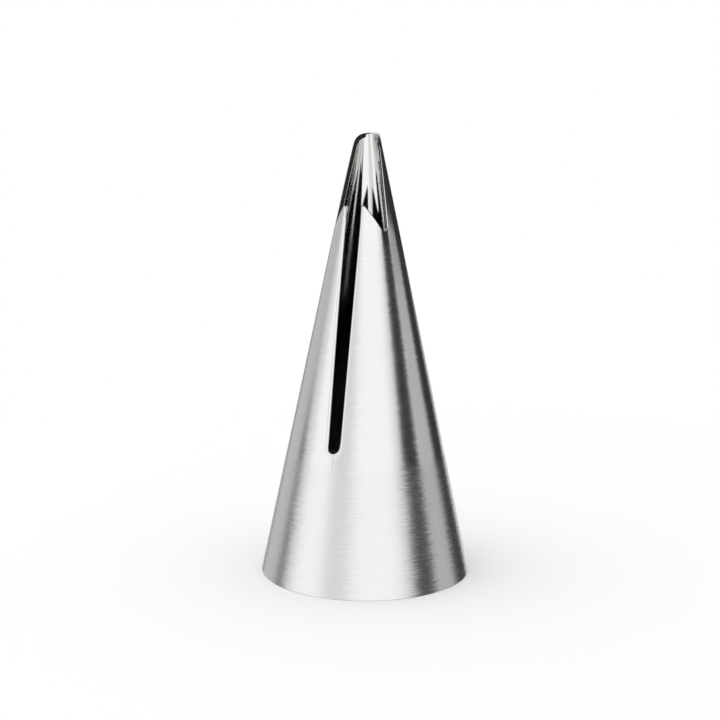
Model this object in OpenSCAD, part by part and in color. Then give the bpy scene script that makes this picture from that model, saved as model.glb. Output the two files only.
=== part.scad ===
// Piping nozzle: one open cone of thin steel sheet, standing on its wide end.
// A slit runs up the front, which is -Y, between two pointed petals.
// A V notch on each side parts the petals from a taller tongue at the back.

/* [Cone] */
// Outside diameter across the open base.
base_d = 17.5; // [14:0.5:24]
// Height from the base edge to the end of the tongue.
height = 36.4; // [35:0.2:42]
// Outside diameter of the cone at the height of the tongue's end.
tip_d = 2; // [1.8:0.1:3]
// Thickness of the sheet.
wall = 0.4; // [0.3:0.05:0.6]

/* [Front slit] */
// Width of the slit between the petal tips.
slit_top_w = 1.5; // [1:0.1:2]
// Width of the slit at its rounded lower end.
slit_end_w = 1.1; // [0.8:0.1:1.4]
// Height of the slit's lower end above the base.
slit_end_z = 11.1; // [8:0.1:18]

/* [Petals and notches] */
// Height of the petal tips above the base, before they are rounded.
petal_tip_z = 30.8; // [30:0.1:31.8]
// Radius of the rounded petal tips.
petal_tip_r = 0.16; // [0.1:0.02:0.24]
// Height of the bottom of each notch above the base.
notch_z = 28.5; // [27:0.1:29]
// Angle round the cone from the middle of the slit to each notch.
notch_angle = 60; // [54:1:68]
// Radius of the rounded bottom of each notch.
notch_r = 0.25; // [0.15:0.01:0.3]

/* [Tongue] */
// Radius of the tongue's rounded end, seen from the side.
tongue_end_r = 1.5; // [1.3:0.1:1.7]
// Backward lean of the rounded end where the tongue's straight edges run into it.
tongue_end_lean = 13; // [10:1:18]
// Slope of the rounded end where it meets the back of the cone.
tongue_end_slope = 10; // [6:1:20]

/* [Hidden] */
$fn = 96;
base_r = base_d / 2;
tip_r = tip_d / 2;
taper = (base_r - tip_r) / height;
wall_across = wall * sqrt(1 + taper * taper);

// Height that the cone is drawn up to, before its cuts bring it down to the tongue's end, and
// the height past it that every cut runs up to.
drawn = height + wall / 2;
above = height + wall;

// Outside radius of the cone at height z.
function cone_r(z) = base_r - taper * z;

// Distance out to the sheet's outside along a line that passes the axis at distance y.
function cone_x(y, z) = sqrt(pow(cone_r(z), 2) - y * y);

// Unit vector at the angle a.
function heading(a) = [cos(a), sin(a)];

// Point where a line from p touches the circle of radius r at c, on side 1 or -1 of it.
function touch_point(p, c, r, side) =
    let (v = c - p)
    c - r * heading(atan2(v.y, v.x) + side * acos(r / norm(v)));

// Slit outline in X and Z: it narrows from the petal tips to the rounded end.
slit_end = [0, slit_end_z + slit_end_w / 2];
slit_spread = (slit_top_w - slit_end_w) / 2 / (petal_tip_z - slit_end.y);
function slit_x(z) = slit_end_w / 2 + slit_spread * (z - slit_end.y);

// Tongue's rounded end in Y and Z, the point where a straight edge meets it, and the height
// just below that point where the cut that rounds it starts.
tongue_end = [tip_r, height] + tongue_end_r * heading(tongue_end_slope - 90);
tongue_edge = tongue_end - tongue_end_r * heading(-tongue_end_lean);
round_z = tongue_end.y + tongue_end_r * sin(tongue_end_lean * 2 / 3);

// A straight edge runs into an arc a hundredth of the radius inside it, so that they cross.
touch = 0.99;

// Notch outline, looking square through the sheet at the notch. Both sides leave its round
// bottom: the front one runs to the petal's tip, and the back one is the tongue's edge.
function across(y, z) = cone_x(y, z) * cos(notch_angle) + y * sin(notch_angle);
notch_end = [0, notch_z + notch_r];
petal_tip_y = -cone_x(slit_x(petal_tip_z), petal_tip_z);
petal_tip = [across(petal_tip_y, petal_tip_z), petal_tip_z];
petal_foot = touch_point(petal_tip, notch_end, touch * notch_r, 1);
petal_run = (petal_tip.x - petal_foot.x) / (petal_tip.y - petal_foot.y);
edge_tip = [across(tongue_edge.x, tongue_edge.y), tongue_edge.y];
edge_foot = touch_point(edge_tip, notch_end, touch * notch_r, -1);

// Petal's tip in X and Z, seen from the front: its corner, the directions down its two sides,
// and the middle of the arc that rounds it. The sides' directions are taken near the corner.
function petal_across(z) = petal_foot.x + petal_run * (z - petal_foot.y);
function petal_x(z) = cone_r(z) * cos(notch_angle - acos(petal_across(z) / cone_r(z)));
function toward(v) = v / norm(v);
corner = [slit_x(petal_tip_z), petal_tip_z];
side_z = petal_tip_z - 1.5 * petal_tip_r;
slit_way = toward([slit_x(side_z), side_z] - corner);
petal_way = toward([petal_x(side_z), side_z] - corner);
corner_half = acos(slit_way * petal_way) / 2;
corner_arc = corner + toward(slit_way + petal_way) * touch * petal_tip_r / sin(corner_half);

module cone() {
    rotate_extrude()
        polygon([
            [base_r, 0],
            [cone_r(drawn), drawn],
            [cone_r(drawn) - wall_across, drawn],
            [base_r - wall_across, 0]
        ]);
}

module slit_cut() {
    rotate([90, 0, 0]) {
        linear_extrude(height = base_d)
            polygon([
                [slit_x(slit_end.y), slit_end.y],
                [slit_x(above), above],
                [-slit_x(above), above],
                [-slit_x(slit_end.y), slit_end.y]
            ]);
        translate(slit_end)
            cylinder(d = slit_end_w, h = base_d);
    }
}

module notch_cut() {
    rotate([90, 0, notch_angle]) {
        linear_extrude(height = base_d)
            polygon([
                petal_foot,
                edge_foot,
                edge_tip,
                [edge_tip.x, above],
                [petal_foot.x + petal_run * (above - petal_foot.y), above]
            ]);
        translate(notch_end)
            cylinder(r = notch_r, h = base_d);
    }
}

// Leaves an arc where it takes away a kite: the petal's corner, drawn out past its sides.
module petal_tip_cut() {
    rotate([90, 0, 0])
        difference() {
            linear_extrude(height = base_d)
                polygon([
                    corner_arc,
                    corner_arc + 2 * petal_tip_r * [slit_way.y, -slit_way.x],
                    corner_arc + 2 * (corner - corner_arc),
                    corner_arc + 2 * petal_tip_r * [-petal_way.y, petal_way.x]
                ]);
            translate(corner_arc)
                cylinder(r = petal_tip_r, h = base_d);
        }
}

module tongue_end_cut() {
    translate([-base_d / 2, 0, 0])
        rotate([90, 0, 90])
            difference() {
                translate([-base_d, round_z, 0])
                    cube([base_d + tongue_end.x, above - round_z, base_d]);
                translate(tongue_end)
                    cylinder(r = tongue_end_r, h = base_d);
            }
}

module nozzle_shell() {
    color("silver")
        difference() {
            cone();
            slit_cut();
            for (side = [0, 1])
                mirror([side, 0, 0]) {
                    notch_cut();
                    petal_tip_cut();
                }
            tongue_end_cut();
        }
}

nozzle_shell();
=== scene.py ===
"""Piping nozzle: one cone of thin steel sheet with a front slit, two petals and a tongue.

The sheet is laid out flat, filled with faces, then rolled round the cone with its cut edges
rounded. The sizes are those of the solid unless a comment says otherwise, and the cone itself is
taken from the frame.
"""

import math

import bmesh
import bpy
import numpy as np
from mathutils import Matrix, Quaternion, Vector
from mathutils.geometry import delaunay_2d_cdt


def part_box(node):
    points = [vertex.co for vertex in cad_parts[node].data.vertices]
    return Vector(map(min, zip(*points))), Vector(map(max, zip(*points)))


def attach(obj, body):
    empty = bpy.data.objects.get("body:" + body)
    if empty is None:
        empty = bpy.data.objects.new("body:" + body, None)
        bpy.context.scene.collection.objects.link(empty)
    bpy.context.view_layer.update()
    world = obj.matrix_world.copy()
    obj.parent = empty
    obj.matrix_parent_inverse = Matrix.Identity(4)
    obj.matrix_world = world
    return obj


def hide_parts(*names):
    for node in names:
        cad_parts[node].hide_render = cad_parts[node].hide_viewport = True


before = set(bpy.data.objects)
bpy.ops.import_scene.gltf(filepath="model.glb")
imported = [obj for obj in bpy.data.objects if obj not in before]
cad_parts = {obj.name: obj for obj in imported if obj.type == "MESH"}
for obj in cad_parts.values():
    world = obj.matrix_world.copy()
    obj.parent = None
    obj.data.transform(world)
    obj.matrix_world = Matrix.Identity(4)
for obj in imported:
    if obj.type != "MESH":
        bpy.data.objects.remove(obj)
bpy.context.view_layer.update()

MM = 0.001
NODE = "nozzle_shell"

# The cone, from the frame
low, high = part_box(NODE)
HEIGHT = high.z - low.z
BASE_R = (high.x - low.x) / 2
TIP_R = 1.0 * MM
WALL = 0.4 * MM
TAPER = (BASE_R - TIP_R) / HEIGHT
APEX_Z = BASE_R / TAPER
HALF_ANGLE = math.atan(TAPER)
SIN_HALF = math.sin(HALF_ANGLE)
COS_HALF = math.cos(HALF_ANGLE)

# The front slit. Its rounded edges stand a little closer together than the solid's square cuts,
# which are 1.5 mm apart at the top and 1.1 mm at the lower end.
SLIT_TOP_W = 1.46 * MM
SLIT_END_W = 0.98 * MM
SLIT_END_Z = 11.1 * MM

# The petals and the notches beside them
PETAL_TIP_Z = 30.8 * MM
PETAL_TIP_R = 0.16 * MM
NOTCH_Z = 28.5 * MM
NOTCH_R = 0.25 * MM
NOTCH_ANGLE = math.radians(60)

# The tongue's rounded end, seen from the side
TONGUE_END_R = 1.5 * MM
TONGUE_END_LEAN = math.radians(13)
TONGUE_END_SLOPE = math.radians(10)

# The cut edges' rounded outer corners. They are small at the slit's end and at the petals' tips.
SLIT_END_EDGE_R = 0.08 * MM
SLIT_EDGE_R = 0.24 * MM
PETAL_EDGE_R = 0.11 * MM
TONGUE_EDGE_R = 0.14 * MM
TONGUE_TOP_EDGE_R = 0.04 * MM
SLIT_CHANGE_Z = 12 * MM
PETAL_CHANGE_Z = 29.2 * MM
PETAL_EDGE_Z = 30.3 * MM
EDGE_CHANGE = math.radians(6)

# Their inner corners are round too. Beside the tongue's end they are ground down to a flat slope,
# which runs further round on the left side, -1, than on the right.
INNER_EDGE_R = 0.08 * MM
SLOPE_DEPTH = 0.35 * MM
SLOPE_REACH = 0.32 * MM
ROUND_POWER = 2.0
SLOPE_POWER = 1.2
SLOPE_START = math.radians(80)
SLOPE_WHOLE = math.radians(94)
SLOPE_ENDS = {
    1: (math.radians(108), math.radians(122)),
    -1: (math.radians(144), math.radians(152)),
}

# The tongue's cut faces are shaded as if they leaned back and faced upward by this much. It starts
# and is whole where a normal points out of the cut by these shares.
TONGUE_FACE_LIFT = 0.6
FACE_START = 0.5
FACE_WHOLE = 1.0

# The rounded corners of the edge that the cone stands on
BASE_EDGE_R = 0.05 * MM

# The real slit leans: it runs to the left as it goes up, about a height where it is true.
LEAN = math.radians(1.04)
LEAN_MIDDLE_Z = 22.1 * MM
LEAN_WHOLE = math.radians(25)
LEAN_END = math.radians(58)
LEAN_FOOT_Z = 8 * MM

# How finely the cut edges are divided, and how far down a petal its side's direction is taken
LINE_STEP = 0.2 * MM
SHORT_STEP = 0.1 * MM
ARC_STEP = math.radians(12)
FEWEST_STEPS = 2
TONGUE_STEPS = 26
EDGE_STEPS = 6
NEAR_CORNER = 0.1

# How finely the sheet is divided: columns in each half, a cell's height over its width, and the
# share of a cell that stays clear of the rim
COLUMNS = 60
CELL_ASPECT = 2.5
RIM_CLEARANCE = 0.45

# A point this near the middle plane lies on it. Both halves share it where they agree on its
# place to this many digits.
SAME_PLACE = 1e-9
SEAM_DIGITS = 9

# The triangulation keeps what is inside its outline. Its least gap is in millimetres.
INSIDE_OUTLINE = 1
LEAST_GAP = 1e-6

# Two triangles become one face where they are this near to a flat rectangle.
FOLD_LIMIT = math.radians(4)
SKEW_LIMIT = math.radians(30)

# Materials on the mesh, in slot order
OUTSIDE, INSIDE, EDGE = range(3)


def cone_r(z):
    """Outside radius of the cone at height z."""
    return BASE_R - TAPER * z


def smooth(value, start, end):
    """Goes smoothly from 0 at start to 1 at end."""
    share = np.clip((value - start) / (end - start), 0, 1)
    return share * share * (3 - 2 * share)


def heading(angle):
    """Unit vectors at an angle, or at each of several."""
    return np.stack([np.cos(angle), np.sin(angle)], axis=-1)


def arc(centre, radius, start, end):
    """Points along an arc, both ends included."""
    count = max(FEWEST_STEPS, math.ceil(abs(end - start) / ARC_STEP))
    return centre + radius * heading(np.linspace(start, end, count + 1))


def line(start, end, step):
    """Points along a straight line, both ends left out."""
    start, end = np.array(start), np.array(end)
    count = max(FEWEST_STEPS, math.ceil(np.linalg.norm(end - start) / step))
    share = np.linspace(0, 1, count + 1)[1:-1, None]
    return start + (end - start) * share


def touch_angle(point, centre, radius, side):
    """Angle on a circle at which a line from the point touches it, on one side or the other."""
    away = point - centre
    return math.atan2(away[1], away[0]) + side * math.acos(radius / np.linalg.norm(away))


# Three ways to look at the cone: from the front, square through a notch, and from the side.
# Each turns a distance across and a height into an azimuth round the cone and that height.
def seen_from_front(points):
    return np.stack([np.arcsin(points[:, 0] / cone_r(points[:, 1])), points[:, 1]], axis=-1)


def seen_through_notch(points):
    turn = np.arcsin(points[:, 0] / cone_r(points[:, 1]))
    return np.stack([NOTCH_ANGLE + turn, points[:, 1]], axis=-1)


def seen_from_side(points):
    depth = np.clip(-points[:, 0] / cone_r(points[:, 1]), -1, 1)
    return np.stack([np.arccos(depth), points[:, 1]], axis=-1)


def across_notch(azimuth, z):
    """Distance from the notch's middle plane of a point on the cone."""
    return cone_r(z) * math.sin(azimuth - NOTCH_ANGLE)


def rim_outline():
    """The cut edge of one half, as azimuth and height, from the slit's end to the back."""
    slit_end = np.array([0, SLIT_END_Z + SLIT_END_W / 2])
    slit_spread = (SLIT_TOP_W - SLIT_END_W) / 2 / (PETAL_TIP_Z - slit_end[1])
    corner = np.array([SLIT_TOP_W / 2, PETAL_TIP_Z])

    # The petal's outer edge runs from its corner to the notch's round bottom.
    notch_end = np.array([0, NOTCH_Z + NOTCH_R])
    corner_azimuth = math.asin(corner[0] / cone_r(corner[1]))
    petal_top = np.array([across_notch(corner_azimuth, corner[1]), corner[1]])
    petal_foot_at = touch_angle(petal_top, notch_end, NOTCH_R, 1)
    petal_foot = notch_end + NOTCH_R * heading(petal_foot_at)

    # The petal's tip is rounded as seen from the front. Its outer side's direction is taken near
    # the corner.
    below = petal_top + (petal_foot - petal_top) * NEAR_CORNER
    petal_below = seen_through_notch(below[None, :])[0]
    beside = np.array([cone_r(petal_below[1]) * math.sin(petal_below[0]), petal_below[1]])
    slit_way = -np.array([slit_spread, 1]) / math.hypot(slit_spread, 1)
    petal_way = (beside - corner) / np.linalg.norm(beside - corner)
    half = math.acos(slit_way @ petal_way) / 2
    middle = (slit_way + petal_way) / np.linalg.norm(slit_way + petal_way)
    tip_centre = corner + middle * PETAL_TIP_R / math.sin(half)
    reach = PETAL_TIP_R / math.tan(half)
    tip_start = corner + slit_way * reach - tip_centre
    tip_end = corner + petal_way * reach - tip_centre
    tip_angles = [math.atan2(v[1], v[0]) for v in (tip_start, tip_end)]

    # The tongue's edge leaves the notch and runs into the rounded end.
    tongue_end = np.array([TIP_R, HEIGHT]) + TONGUE_END_R * heading(TONGUE_END_SLOPE - math.pi / 2)
    tongue_edge = tongue_end - TONGUE_END_R * heading(-TONGUE_END_LEAN)
    edge_azimuth = math.acos(-tongue_edge[0] / cone_r(tongue_edge[1]))
    edge_top = np.array([across_notch(edge_azimuth, tongue_edge[1]), tongue_edge[1]])
    edge_foot_at = touch_angle(edge_top, notch_end, NOTCH_R, -1)
    edge_foot = notch_end + NOTCH_R * heading(edge_foot_at)

    # The rounded end's points close up towards the back, where they spread out in azimuth.
    closing = np.linspace(1, 0, TONGUE_STEPS) ** 2
    first_angle = math.pi - TONGUE_END_LEAN
    last_angle = math.pi / 2 + TONGUE_END_SLOPE
    end_angles = last_angle + (first_angle - last_angle) * closing

    slit_arc = arc(slit_end, SLIT_END_W / 2, -math.pi / 2, 0)
    tip_arc = arc(tip_centre, PETAL_TIP_R, tip_angles[0], tip_angles[1])
    tip_foot = seen_from_front(tip_arc[-1:])[0]
    petal_start = np.array([across_notch(*tip_foot), tip_foot[1]])
    notch_arc = arc(notch_end, NOTCH_R, petal_foot_at, edge_foot_at + 2 * math.pi)
    return np.concatenate([
        seen_from_front(slit_arc),
        seen_from_front(line(slit_arc[-1], tip_arc[0], LINE_STEP)),
        seen_from_front(tip_arc),
        seen_through_notch(line(petal_start, petal_foot, SHORT_STEP)),
        seen_through_notch(notch_arc),
        seen_through_notch(line(edge_foot, edge_top, SHORT_STEP)),
        seen_from_side(tongue_end + TONGUE_END_R * heading(end_angles)),
    ])


def unroll(places):
    """Azimuth and height to a point on the flat sheet, which has the cone's apex at its origin."""
    reach = (APEX_Z - places[:, 1]) / COS_HALF
    turn = places[:, 0] * SIN_HALF
    return np.stack([reach * np.sin(turn), -reach * np.cos(turn)], axis=-1)


def roll_up(flat):
    """A point on the flat sheet to azimuth and height."""
    turn = np.arctan2(flat[:, 0], -flat[:, 1])
    reach = np.hypot(flat[:, 0], flat[:, 1])
    return np.stack([turn / SIN_HALF, APEX_Z - reach * COS_HALF], axis=-1)


def cone_point(places, depth):
    """Points at a depth below the outside of the cone."""
    r = cone_r(places[:, 1]) - depth * COS_HALF
    azimuth = places[:, 0]
    z = places[:, 1] - depth * SIN_HALF
    return np.stack([r * np.sin(azimuth), -r * np.cos(azimuth), z], axis=-1)


def cone_normal(azimuth):
    """Outward normals of the cone at these azimuths."""
    return np.stack([
        COS_HALF * np.sin(azimuth),
        -COS_HALF * np.cos(azimuth),
        np.full_like(azimuth, SIN_HALF),
    ], axis=-1)


def inward_ways(rim):
    """Directions on the flat sheet from each point of the rim into the sheet."""
    before = [[-rim[1, 0], rim[1, 1]]]
    after = [[2 * math.pi - rim[-2, 0], rim[-2, 1]]]
    flat = unroll(np.concatenate([before, rim, after]))
    along = flat[2:] - flat[:-2]
    along /= np.linalg.norm(along, axis=1)[:, None]
    return np.stack([along[:, 1], -along[:, 0]], axis=-1)


def onto_cone(ways, azimuth):
    """Directions on the flat sheet as directions on the cone at these azimuths."""
    turn = azimuth * SIN_HALF
    around = ways[:, 0] * np.cos(turn) + ways[:, 1] * np.sin(turn)
    upward = ways[:, 1] * np.cos(turn) - ways[:, 0] * np.sin(turn)
    around_way = np.stack([np.cos(azimuth), np.sin(azimuth), np.zeros_like(azimuth)], axis=-1)
    upward_way = np.stack([
        -SIN_HALF * np.sin(azimuth),
        SIN_HALF * np.cos(azimuth),
        np.full_like(azimuth, COS_HALF),
    ], axis=-1)
    return around[:, None] * around_way + upward[:, None] * upward_way


class Skin:
    """Vertices with their normals, and faces turned to agree with them."""

    def __init__(self):
        self.points = []
        self.normals = []
        self.faces = []
        self.kinds = []
        self.on_seam = {}

    def add_points(self, points, normals, side):
        """Adds a row of points to one half. The halves share the points on the middle plane."""
        mirror = np.array([side, 1, 1])
        return [self.add_point(p * mirror, n * mirror) for p, n in zip(points, normals)]

    def add_point(self, point, normal):
        """Adds a point, or finds it where the other half has it already."""
        middle = abs(point[0]) < SAME_PLACE
        key = (round(point[1], SEAM_DIGITS), round(point[2], SEAM_DIGITS))
        if middle and key in self.on_seam:
            return self.on_seam[key]
        self.points.append(point)
        self.normals.append(normal / np.linalg.norm(normal))
        if middle:
            self.on_seam[key] = len(self.points) - 1
        return len(self.points) - 1

    def add_face(self, corners, kind):
        """Adds a face, turned so that it agrees with its corners' normals."""
        a, b, c = (self.points[i] for i in corners[:3])
        facing = np.cross(b - a, c - a) @ sum(self.normals[i] for i in corners)
        self.faces.append(corners if facing > 0 else corners[::-1])
        self.kinds.append(kind)

    def add_strip(self, row, next_row, kind):
        """Adds a band of four-sided faces between two rows of points."""
        for i in range(len(row) - 1):
            self.add_face([row[i], next_row[i], next_row[i + 1], row[i + 1]], kind)


def rounding(rim, side):
    """The corners at each point of the rim.

    Gives the outer radius, then the inner corner's depth, its reach into the sheet and the power
    of its curve, which is 2 for a round corner and near 1 for a flat slope.
    """
    petal_tip = np.argmax(np.where(rim[:, 0] < NOTCH_ANGLE, rim[:, 1], 0))
    slit = np.interp(
        rim[:petal_tip, 1],
        [SLIT_END_Z, SLIT_CHANGE_Z, PETAL_CHANGE_Z, PETAL_EDGE_Z],
        [SLIT_END_EDGE_R, SLIT_EDGE_R, SLIT_EDGE_R, PETAL_EDGE_R],
    )
    notch = np.interp(
        rim[petal_tip:, 0],
        [NOTCH_ANGLE - EDGE_CHANGE, NOTCH_ANGLE + EDGE_CHANGE, SLOPE_START, SLOPE_WHOLE],
        [PETAL_EDGE_R, TONGUE_EDGE_R, TONGUE_EDGE_R, TONGUE_TOP_EDGE_R],
    )
    sloped = np.interp(rim[:, 0], [SLOPE_START, SLOPE_WHOLE, *SLOPE_ENDS[side]], [0, 1, 1, 0])
    depth = INNER_EDGE_R + (SLOPE_DEPTH - INNER_EDGE_R) * sloped
    reach = INNER_EDGE_R + (SLOPE_REACH - INNER_EDGE_R) * sloped
    power = ROUND_POWER + (SLOPE_POWER - ROUND_POWER) * sloped
    return np.concatenate([slit, notch]), depth, reach, power


def add_rim(skin, rim, side):
    """The rounded cut edge of one half. Returns its first and last rows, outside and inside."""
    flat = unroll(rim)
    inward = inward_ways(rim)
    outer_r, inner_depth, inner_reach, power = rounding(rim, side)
    face_lift = smooth(rim[:, 0], NOTCH_ANGLE, NOTCH_ANGLE + EDGE_CHANGE) * TONGUE_FACE_LIFT
    straight_up = onto_cone(np.tile([0.0, 1.0], (len(rim), 1)), rim[:, 0])
    quarter = np.linspace(0, math.pi / 2, EDGE_STEPS + 1)
    rows = []
    for outside in (True, False):
        for angle in quarter:
            sine, cosine = math.sin(angle), max(math.cos(angle), 0)
            if outside:
                inset, depth = outer_r * (1 - sine), outer_r * (1 - cosine)
                ways = np.stack([outer_r * sine, outer_r * cosine])
            else:
                inset = inner_reach * (1 - cosine ** (2 / power))
                depth = WALL - inner_depth * (1 - sine ** (2 / power))
                bend = 2 - 2 / power
                ways = np.stack([inner_depth * cosine ** bend, -inner_reach * sine ** bend])
            outward, upward = ways / np.linalg.norm(ways, axis=0)
            places = roll_up(flat + inward * inset[:, None])
            normals = upward[:, None] * cone_normal(places[:, 0])
            normals = normals - outward[:, None] * onto_cone(inward, places[:, 0])
            lifted = face_lift * smooth(outward, FACE_START, FACE_WHOLE)
            normals = normals + lifted[:, None] * straight_up
            rows.append((skin.add_points(cone_point(places, depth), normals, side), places))
    for (row, _), (next_row, _) in zip(rows, rows[1:]):
        skin.add_strip(row, next_row, EDGE)
    return rows[0], rows[-1]


def add_base(skin, side):
    """The rounded edge that the cone stands on. Returns its first and last rows."""
    azimuth = np.linspace(0, math.pi, COLUMNS + 1)
    outer = (BASE_EDGE_R, HALF_ANGLE, -math.pi / 2)
    inner = (WALL - BASE_EDGE_R, -math.pi / 2, HALF_ANGLE - math.pi)
    rows = []
    for depth, start, end in (outer, inner):
        middle_r = cone_r(BASE_EDGE_R) - depth / COS_HALF
        for angle in np.linspace(start, end, EDGE_STEPS + 1):
            r = middle_r + BASE_EDGE_R * math.cos(angle)
            z = BASE_EDGE_R + BASE_EDGE_R * math.sin(angle)
            ring = np.stack([np.sin(azimuth), -np.cos(azimuth), np.zeros_like(azimuth)], axis=-1)
            lift = np.array([0, 0, 1])
            points = r * ring + z * lift
            normals = math.cos(angle) * ring + math.sin(angle) * lift
            rows.append(skin.add_points(points, normals, side))
    for row, next_row in zip(rows, rows[1:]):
        skin.add_strip(row, next_row, EDGE)
    outer_z = BASE_EDGE_R * (1 + SIN_HALF)
    inner_z = BASE_EDGE_R * (1 - SIN_HALF) + WALL * SIN_HALF
    outer_places = np.stack([azimuth, np.full_like(azimuth, outer_z)], axis=-1)
    inner_places = np.stack([azimuth, np.full_like(azimuth, inner_z)], axis=-1)
    return (rows[0], outer_places), (rows[-1], inner_places)


def add_surface(skin, rim_row, base_row, depth, side, kind):
    """Fills one side of the sheet between its rim and its base edge."""
    rim_ids, rim = rim_row
    base_ids, base = base_row
    step = math.pi / COLUMNS
    grow = CELL_ASPECT * SIN_HALF * step
    first_reach = (APEX_Z - base[0, 1]) / COS_HALF
    last_reach = (APEX_Z - HEIGHT) / COS_HALF
    rows = int(math.log(first_reach / last_reach) / grow)
    reach = first_reach * np.exp(-grow * np.arange(1, rows + 1))
    azimuth = np.linspace(0, math.pi, COLUMNS + 1)
    grid = np.stack(np.meshgrid(azimuth, APEX_Z - reach * COS_HALF), axis=-1).reshape(-1, 2)

    # A grid point stays where the sheet is, and clear of the rim by a share of its cell.
    top_at = np.interp(grid[:, 0], rim[:, 0], rim[:, 1])
    grid = grid[grid[:, 1] < top_at]
    rim_flat = unroll(rim)
    flat = unroll(grid)
    cell = np.hypot(flat[:, 0], flat[:, 1]) * grow
    gap = np.min(np.linalg.norm(flat[:, None] - rim_flat[None], axis=2), axis=1)
    grid = grid[gap > RIM_CLEARANCE * cell]
    facing = 1 if kind == OUTSIDE else -1
    ids = skin.add_points(cone_point(grid, depth), facing * cone_normal(grid[:, 0]), side)

    # The boundary goes round: rim, down the back, base, and up the front.
    at_back = [i for i in range(len(grid)) if grid[i, 0] > math.pi - step / 2]
    at_front = [i for i in range(len(grid)) if grid[i, 0] < step / 2]
    at_back.sort(key=lambda i: -grid[i, 1])
    at_front.sort(key=lambda i: grid[i, 1])
    on_middle = set(at_back + at_front)
    inside = [i for i in range(len(grid)) if i not in on_middle]
    places = np.concatenate([rim, grid[at_back], base[::-1], grid[at_front], grid[inside]])
    skin_ids = (
        list(rim_ids) + [ids[i] for i in at_back] + list(base_ids)[::-1]
        + [ids[i] for i in at_front] + [ids[i] for i in inside]
    )
    loop = list(range(len(places) - len(inside)))
    coords = [Vector(p) for p in unroll(places) / MM]
    filled = delaunay_2d_cdt(coords, [], [loop[::-1]], INSIDE_OUTLINE, LEAST_GAP)
    triangles, sources = filled[2:4]
    for triangle in triangles:
        skin.add_face([skin_ids[sources[i][0]] for i in triangle], kind)


def turned(vectors, angle):
    """Vectors turned about the cone's axis, each by its own angle."""
    x, y, z = np.array(vectors).T
    sine, cosine = np.sin(angle), np.cos(angle)
    return np.stack([x * cosine - y * sine, x * sine + y * cosine, z], axis=-1)


def slit_lean(points):
    """Angle about the axis by which each point moves to make the slit lean."""
    x, y, z = np.array(points).T
    azimuth = np.abs(np.arctan2(x, -y))
    share = smooth(azimuth, LEAN_END, LEAN_WHOLE) * smooth(z, 0, LEAN_FOOT_Z)
    return share * math.tan(LEAN) * (LEAN_MIDDLE_Z - z) / np.hypot(x, y)


def build_shell():
    """The whole sheet as one object."""
    skin = Skin()
    rim = rim_outline()
    for side in (1, -1):
        outer_rim, inner_rim = add_rim(skin, rim, side)
        outer_base, inner_base = add_base(skin, side)
        add_surface(skin, outer_rim, outer_base, 0, side, OUTSIDE)
        add_surface(skin, inner_rim, inner_base, WALL, side, INSIDE)
    lean = slit_lean(skin.points)
    mesh = bpy.data.meshes.new("nozzle")
    mesh.from_pydata(turned(skin.points, lean).tolist(), [], skin.faces)
    mesh.polygons.foreach_set("material_index", skin.kinds)
    square_up(mesh)
    mesh.shade_smooth()
    mesh.normals_split_custom_set_from_vertices(turned(skin.normals, lean).tolist())
    piece = bpy.data.objects.new("nozzle", mesh)
    bpy.context.scene.collection.objects.link(piece)
    return piece


def square_up(mesh):
    """Joins pairs of triangles into four-sided faces where they lie nearly flat."""
    bm = bmesh.new()
    bm.from_mesh(mesh)
    triangles = [f for f in bm.faces if len(f.verts) == 3]
    bmesh.ops.join_triangles(
        bm,
        faces=triangles,
        cmp_materials=True,
        angle_face_threshold=FOLD_LIMIT,
        angle_shape_threshold=SKEW_LIMIT,
    )
    bm.to_mesh(mesh)
    bm.free()


class Graph:
    """A node tree written as calls: each adds a node and fills its inputs."""

    def __init__(self, tree):
        tree.nodes.clear()
        self.tree = tree

    def add(self, kind, inputs=None, **settings):
        """Adds a node with its inputs, each a number, a colour or another node's output."""
        made = self.tree.nodes.new(kind)
        for name, value in settings.items():
            setattr(made, name, value)
        for key, value in (inputs or {}).items():
            if isinstance(value, bpy.types.NodeSocket):
                self.tree.links.new(value, made.inputs[key])
            else:
                made.inputs[key].default_value = value
        return made

    def math(self, operation, *values):
        """The result of a sum or a comparison."""
        return self.add("ShaderNodeMath", dict(enumerate(values)), operation=operation).outputs[0]

    def ease(self, value, start, end):
        """Goes smoothly from 0 at start to 1 at end."""
        made = self.add(
            "ShaderNodeMapRange",
            {"Value": value, "From Min": start, "From Max": end},
            interpolation_type="SMOOTHSTEP",
        )
        return made.outputs["Result"]

    def blend(self, share, first, second):
        """A number between two others."""
        return self.add("ShaderNodeMix", {0: share, 2: first, 3: second}).outputs[0]

    def noise(self, place, scale, detail):
        """Noise from about 0 to 1, stretched by another scale along each axis."""
        stretched = self.add("ShaderNodeVectorMath", {0: place, 1: scale}, operation="MULTIPLY")
        made = self.add("ShaderNodeTexNoise", {
            "Vector": stretched.outputs[0],
            "Scale": 1.0,
            "Detail": detail,
        })
        return made.outputs["Fac"]

    def swing(self, noise, reach):
        """Turns noise from 0 to 1 into a number that swings that far either way."""
        return self.math("MULTIPLY_ADD", noise, 2 * reach, -reach)


def new_material(name):
    """An empty material and its node tree."""
    material = bpy.data.materials.new(name)
    material.use_nodes = True
    return material, Graph(material.node_tree)


# How each side of the sheet and its cut edge are finished: the roughness from smooth to rough, the
# depth in micrometres of the fine grooves left by brushing, how far streaks feather a reflection
# out sideways, and how far slow waves in the sheet shift it.
FINISHES = {
    "steel_outside": {"smooth": 0.14, "rough": 0.26, "groove": 3.4, "feather": 0.06, "wave": 0.012},
    "steel_inside": {"smooth": 0.13, "rough": 0.18, "groove": 1.0, "feather": 0.01, "wave": 0.008},
    "steel_edge": {"smooth": 0.10, "rough": 0.18, "groove": 1.0, "feather": 0.02, "wave": 0.01},
}
MICROMETRE = 1e-6

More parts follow.
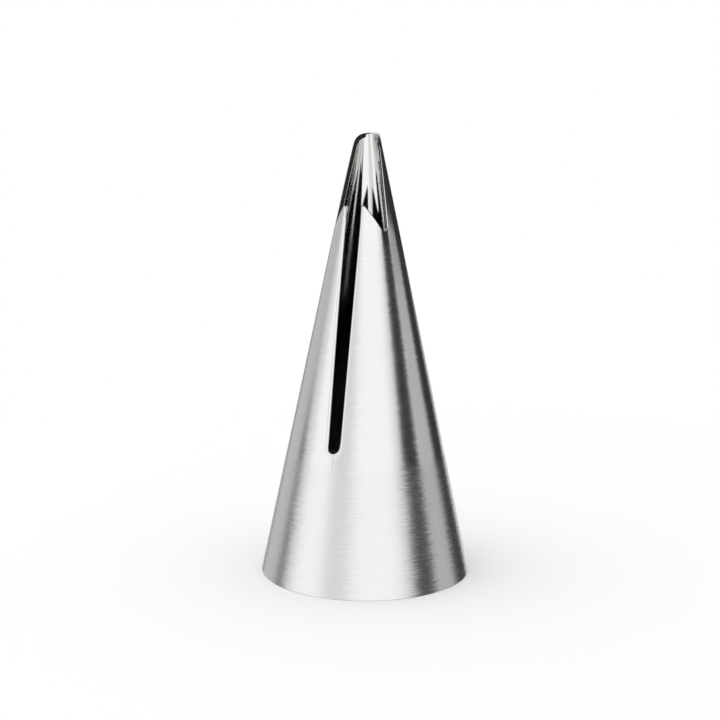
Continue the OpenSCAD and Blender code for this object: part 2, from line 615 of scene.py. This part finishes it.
# How fine the grooves, streaks and waves are in X, Y and Z
PER_MM = 1000
GROOVES = (0.5 * PER_MM, 0.5 * PER_MM, 14 * PER_MM)
STREAKS = (0.8 * PER_MM, 0.8 * PER_MM, 14 * PER_MM)
WAVES = (0.35 * PER_MM, 0.35 * PER_MM, 0.12 * PER_MM)

# The steel's own shade, how far its streaks swing either way, its blue, and the painted shade
# inside
SHADE = 0.658
STREAK_SWING = 0.04
BLUE = 0.985
PAINTED_SHADE_INSIDE = 0.6

# The tip is polished, with its own roughness and little of the brushing left. The lowest part was
# brushed once more: it is rougher, and the brushing between the two is weaker.
POLISH_START_Z = 26.5 * MM
POLISH_END_Z = 29.0 * MM
POLISHED_ROUGHNESS = 0.09
POLISHED_BRUSHING = 0.2
SECOND_BRUSH_TOP_Z = 10.5 * MM
SECOND_BRUSH_WHOLE_Z = 9.5 * MM
SECOND_BRUSH_ROUGHER = 0.06
UPPER_BRUSHING = 0.75

# A faint scribed line runs down from the slit's end and fades out.
LINE_X = 0.24 * MM
LINE_FOOT_Z = 8.8 * MM
LINE_W = 0.05 * MM
LINE_SHADE = 0.45

# Round the slit the sheet was pressed in a little.
SUNK_W = 0.45 * MM
SUNK_DEPTH = 0.028 * MM


def steel(name):
    """The steel of one side of the sheet, or of its cut edge."""
    finish = FINISHES[name]
    material, g = new_material(name)
    place = g.add("ShaderNodeTexCoord").outputs["Object"]
    axes = g.add("ShaderNodeSeparateXYZ", {0: place}).outputs
    grooves = g.noise(place, GROOVES, detail=3.0)
    streaks = g.noise(place, STREAKS, detail=2.0)
    waves = g.noise(place, WAVES, detail=1.0)

    # How strong the brushing is here, and how rough and how bright it leaves the steel
    polish = g.ease(axes["Z"], POLISH_START_Z, POLISH_END_Z)
    lower = g.ease(axes["Z"], SECOND_BRUSH_TOP_Z, SECOND_BRUSH_WHOLE_Z)
    brushed = g.blend(polish, g.blend(lower, UPPER_BRUSHING, 1.0), POLISHED_BRUSHING)
    roughness = g.blend(grooves, finish["smooth"], finish["rough"])
    streaked = g.math("MULTIPLY", g.swing(streaks, STREAK_SWING), brushed)
    colour = g.math("ADD", streaked, SHADE)

    # The grooves are bump. Streaks and waves turn the surface a little sideways.
    height = g.math("MULTIPLY", grooves, finish["groove"] * MICROMETRE)
    height = g.math("MULTIPLY", height, brushed)
    tilt = g.math("MULTIPLY", g.swing(streaks, finish["feather"]), brushed)
    tilt = g.math("ADD", tilt, g.swing(waves, finish["wave"]))

    # Painted shade: below the polished tip the inside's colour is darkened, standing in for the
    # shade down in the cone.
    if name == "steel_inside":
        colour = g.math("MULTIPLY", colour, g.blend(polish, PAINTED_SHADE_INSIDE, 1.0))
    if name == "steel_outside":
        roughness = g.math("ADD", roughness, g.math("MULTIPLY", lower, SECOND_BRUSH_ROUGHER))
        colour = g.blend(scribed_line(g, axes), colour, LINE_SHADE)
        risen = g.math("MULTIPLY", g.ease(slit_gap(g, axes), 0.0, SUNK_W), SUNK_DEPTH)
        height = g.math("ADD", height, risen)
    roughness = g.blend(polish, roughness, POLISHED_ROUGHNESS)
    bump = g.add("ShaderNodeBump", {
        "Strength": 1.0,
        "Distance": 1.0,
        "Height": height,
        "Normal": turned_normal(g, tilt),
    }).outputs[0]
    shader = g.add("ShaderNodeBsdfPrincipled", {
        "Base Color": g.add("ShaderNodeCombineColor", {
            0: colour,
            1: colour,
            2: g.math("MULTIPLY", colour, BLUE),
        }).outputs[0],
        "Metallic": 1.0,
        "Roughness": roughness,
        "Normal": bump,
    })
    g.add("ShaderNodeOutputMaterial", {"Surface": shader.outputs[0]})
    return material


def turned_normal(g, tilt):
    """The surface's normal, turned round the cone by this much."""
    around = g.add("ShaderNodeTangent", direction_type="RADIAL", axis="Z").outputs[0]
    normal = g.add("ShaderNodeNewGeometry").outputs["Normal"]
    sideways = g.add("ShaderNodeVectorMath", {0: around, "Scale": tilt}, operation="SCALE")
    added = g.add("ShaderNodeVectorMath", {0: normal, 1: sideways.outputs[0]}, operation="ADD")
    return g.add("ShaderNodeVectorMath", {0: added.outputs[0]}, operation="NORMALIZE").outputs[0]


def slit_gap(g, axes):
    """Distance from the slit on the front of the cone, and a long way off at the back."""
    end_z = SLIT_END_Z + SLIT_END_W / 2
    middle = g.math("MULTIPLY", g.math("SUBTRACT", LEAN_MIDDLE_Z, axes["Z"]), math.tan(LEAN))
    across = g.math("SUBTRACT", axes["X"], middle)
    down = g.math("MAXIMUM", g.math("SUBTRACT", end_z, axes["Z"]), 0.0)
    off = g.add("ShaderNodeCombineXYZ", {0: across, 1: down}).outputs[0]
    off = g.add("ShaderNodeVectorMath", {0: off}, operation="LENGTH").outputs["Value"]
    behind = g.math("GREATER_THAN", axes["Y"], 0.0)
    return g.math("ADD", g.math("SUBTRACT", off, SLIT_END_W / 2), behind)


def scribed_line(g, axes):
    """1 on the faint line below the slit, and 0 elsewhere."""
    off = g.math("ABSOLUTE", g.math("SUBTRACT", axes["X"], LINE_X))
    fading = g.ease(axes["Z"], LINE_FOOT_Z, SLIT_END_Z)
    share = g.math("MULTIPLY", g.ease(off, LINE_W, 0.0), fading)
    share = g.math("MULTIPLY", share, g.math("LESS_THAN", axes["Y"], 0.0))
    return g.math("MULTIPLY", share, g.math("LESS_THAN", axes["Z"], SLIT_END_Z))


# The camera, at the photograph's angle
FRAME_PX = 720
SENSOR = 36.0
CAMERA_AZIMUTH = math.radians(26)
CAMERA_ELEVATION = math.radians(8.14)
CAMERA_DISTANCE = 100 * MM
CAMERA_FOCAL_PX = 1203.5
CAMERA_ROLL = math.radians(0.22)
AIM_RIGHT = -0.49 * MM
AIM_Z = 17.76 * MM
CLIP_START = 10 * MM
CLIP_END = 10_000 * MM


def build_camera():
    """The camera, aimed a little beside the cone's axis."""
    camera = bpy.data.objects.new("camera", bpy.data.cameras.new("camera"))
    bpy.context.scene.collection.objects.link(camera)
    camera.data.sensor_width = SENSOR
    camera.data.lens = CAMERA_FOCAL_PX * SENSOR / FRAME_PX
    camera.data.clip_start = CLIP_START
    camera.data.clip_end = CLIP_END
    back = Vector((
        math.sin(CAMERA_AZIMUTH) * math.cos(CAMERA_ELEVATION),
        -math.cos(CAMERA_AZIMUTH) * math.cos(CAMERA_ELEVATION),
        math.sin(CAMERA_ELEVATION),
    ))
    right = Vector((math.cos(CAMERA_AZIMUTH), math.sin(CAMERA_AZIMUTH), 0))
    camera.location = right * AIM_RIGHT + Vector((0, 0, AIM_Z)) + back * CAMERA_DISTANCE
    facing = (-back).to_track_quat("-Z", "Y")
    camera.rotation_mode = "QUATERNION"
    camera.rotation_quaternion = facing @ Quaternion((0, 0, 1), CAMERA_ROLL)
    bpy.context.scene.camera = camera


# Softboxes, cards and walls round the object. Each has its bearing from the camera's side to
# its right, its half width, the softness of its edges, the elevations of its bottom and top, all
# in degrees, and its level. A later one stands before an earlier one.
STUDIO = {
    "left_wall": (-128, 26, 12, -90, 90, 0.69),
    "left_back_strip": (-157, 5, 8, -90, 90, 0.20),
    "left_low_card": (-106, 7, 6, -90, 3, 0.12),
    "left_softbox": (-67, 19, 14, -90, 90, 1.38),
    "front_softbox": (13, 31, 20, -90, 90, 1.38),
    "right_dark_card": (69, 14, 6, -90, 90, 0.035),
    "right_grey_card": (101, 14, 8, -90, 90, 0.66),
    "right_back_step": (161, 23, 6, -8, 90, 0.6),
    "right_dark_wall": (132, 17, 6, -90, 90, 0.035),
    "right_back_wall": (161, 23, 6, -1, 90, 0.04),
}
CARD_EDGE = math.radians(4)

# A dark flag hangs over the right grey card. Its lower edge is at one elevation at the middle
# of that card and comes down to the right.
FLAG_BEARING = math.radians(103)
FLAG_HALF_WIDTH = math.radians(20)
FLAG_BOTTOM = math.radians(12.9)
FLAG_FALL = 0.2
FLAG_EDGE = math.radians(1.2)
FLAG_LEVEL = 0.04

# A dark ceiling hangs over it all. The other levels are those of the gaps between the cards, of
# the even light on dull surfaces, and of the background that the camera sees.
CEILING_START = math.radians(42)
CEILING_END = math.radians(48)
CEILING_LEVEL = 0.03
GAP_LEVEL = 1.0
ROOM_LEVEL = 0.9
BACKGROUND_LEVEL = 1.0
WHITE = (1, 1, 1, 1)


def build_world():
    """Reflections show the studio, the camera sees white, and all else is lit evenly."""
    world = bpy.data.worlds.new("studio")
    bpy.context.scene.world = world
    world.use_nodes = True
    g = Graph(world.node_tree)
    way = g.add("ShaderNodeTexCoord").outputs["Generated"]
    turned_way = g.add("ShaderNodeVectorRotate", {
        "Vector": way,
        "Angle": -CAMERA_AZIMUTH,
    }, rotation_type="Z_AXIS").outputs[0]
    axes = g.add("ShaderNodeSeparateXYZ", {0: turned_way}).outputs
    bearing = g.math("ARCTAN2", axes["X"], g.math("MULTIPLY", axes["Y"], -1.0))
    elevation = g.math("ARCSINE", axes["Z"])
    level = GAP_LEVEL
    for centre, half_width, softness, bottom, top, shade in STUDIO.values():
        off = g.math("ABSOLUTE", g.math("SUBTRACT", bearing, math.radians(centre)))
        outer = math.radians(half_width + softness / 2)
        inner = math.radians(half_width - softness / 2)
        low_edge = math.radians(bottom)
        top_edge = math.radians(top)
        above_low = g.ease(elevation, low_edge - CARD_EDGE / 2, low_edge + CARD_EDGE / 2)
        below_top = g.ease(elevation, top_edge + CARD_EDGE / 2, top_edge - CARD_EDGE / 2)
        in_height = g.math("MULTIPLY", above_low, below_top)
        share = g.math("MULTIPLY", g.ease(off, outer, inner), in_height)
        level = g.blend(share, level, shade)
    past = g.math("SUBTRACT", bearing, FLAG_BEARING)
    above = g.math("ADD", elevation, g.math("MULTIPLY", past, FLAG_FALL))
    share = g.math(
        "MULTIPLY",
        g.ease(above, FLAG_BOTTOM - FLAG_EDGE / 2, FLAG_BOTTOM + FLAG_EDGE / 2),
        g.math("LESS_THAN", g.math("ABSOLUTE", past), FLAG_HALF_WIDTH),
    )
    level = g.blend(share, level, FLAG_LEVEL)
    level = g.blend(g.ease(elevation, CEILING_START, CEILING_END), level, CEILING_LEVEL)
    rays = g.add("ShaderNodeLightPath").outputs
    reflected = g.math("MAXIMUM", rays["Is Glossy Ray"], rays["Is Transmission Ray"])
    unseen = g.blend(reflected, ROOM_LEVEL, level)
    strength = g.blend(rays["Is Camera Ray"], unseen, BACKGROUND_LEVEL)
    background = g.add("ShaderNodeBackground", {"Color": WHITE, "Strength": strength})
    g.add("ShaderNodeOutputWorld", {"Surface": background.outputs[0]})


# The floor, and how far from the middle it turns into the background
FLOOR_PALE = (0.95, 0.95, 0.95, 1)
FLOOR_R = 400 * MM
FLOOR_FADE_START = 25 * MM
FLOOR_FADE_END = 90 * MM
FLOOR_SIDES = 96


def build_floor():
    """A pale disc that turns into the white of the background away from the object.

    The nozzle's inside reflects it. Its outside reflects the studio, as if it stood far above.
    """
    bm = bmesh.new()
    bmesh.ops.create_circle(bm, cap_ends=True, segments=FLOOR_SIDES, radius=FLOOR_R)
    mesh = bpy.data.meshes.new("floor")
    bm.to_mesh(mesh)
    bm.free()
    floor = bpy.data.objects.new("floor", mesh)
    bpy.context.scene.collection.objects.link(floor)
    material, g = new_material("floor")
    place = g.add("ShaderNodeTexCoord").outputs["Object"]
    distance = g.add("ShaderNodeVectorMath", {0: place}, operation="LENGTH").outputs["Value"]
    fade = g.ease(distance, FLOOR_FADE_START, FLOOR_FADE_END)
    pale = g.add("ShaderNodeBsdfDiffuse", {"Color": FLOOR_PALE})
    rays = g.add("ShaderNodeLightPath").outputs
    white = g.add("ShaderNodeEmission", {"Color": WHITE, "Strength": rays["Is Camera Ray"]})
    mixed = g.add("ShaderNodeMixShader", {0: fade, 1: pale.outputs[0], 2: white.outputs[0]})
    clear = g.add("ShaderNodeBsdfTransparent")
    open_floor = g.math("GREATER_THAN", distance, BASE_R)
    passed = g.math("MULTIPLY", rays["Is Glossy Ray"], open_floor)
    shown = g.add("ShaderNodeMixShader", {0: passed, 1: mixed.outputs[0], 2: clear.outputs[0]})
    g.add("ShaderNodeOutputMaterial", {"Surface": shown.outputs[0]})
    mesh.materials.append(material)


# The lamp over it
LAMP_D = 300 * MM
LAMP_PLACE = (-60 * MM, -60 * MM, 350 * MM)
LAMP_WATTS = 0.25


def build_lamp():
    """A soft lamp overhead, for the shadow under the object."""
    data = bpy.data.lights.new("top_softbox", "AREA")
    data.shape = "DISK"
    data.size = LAMP_D
    data.energy = LAMP_WATTS
    lamp = bpy.data.objects.new("top_softbox", data)
    lamp.location = LAMP_PLACE
    aim = Vector((0, 0, HEIGHT / 2)) - lamp.location
    lamp.rotation_mode = "QUATERNION"
    lamp.rotation_quaternion = aim.to_track_quat("-Z", "Y")
    lamp.visible_glossy = False
    bpy.context.scene.collection.objects.link(lamp)


nozzle = build_shell()
for finish_name in FINISHES:
    nozzle.data.materials.append(steel(finish_name))
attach(nozzle, "root")
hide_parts(NODE)

build_camera()
build_world()
build_floor()
build_lamp()
bpy.context.scene.view_settings.view_transform = "Standard"
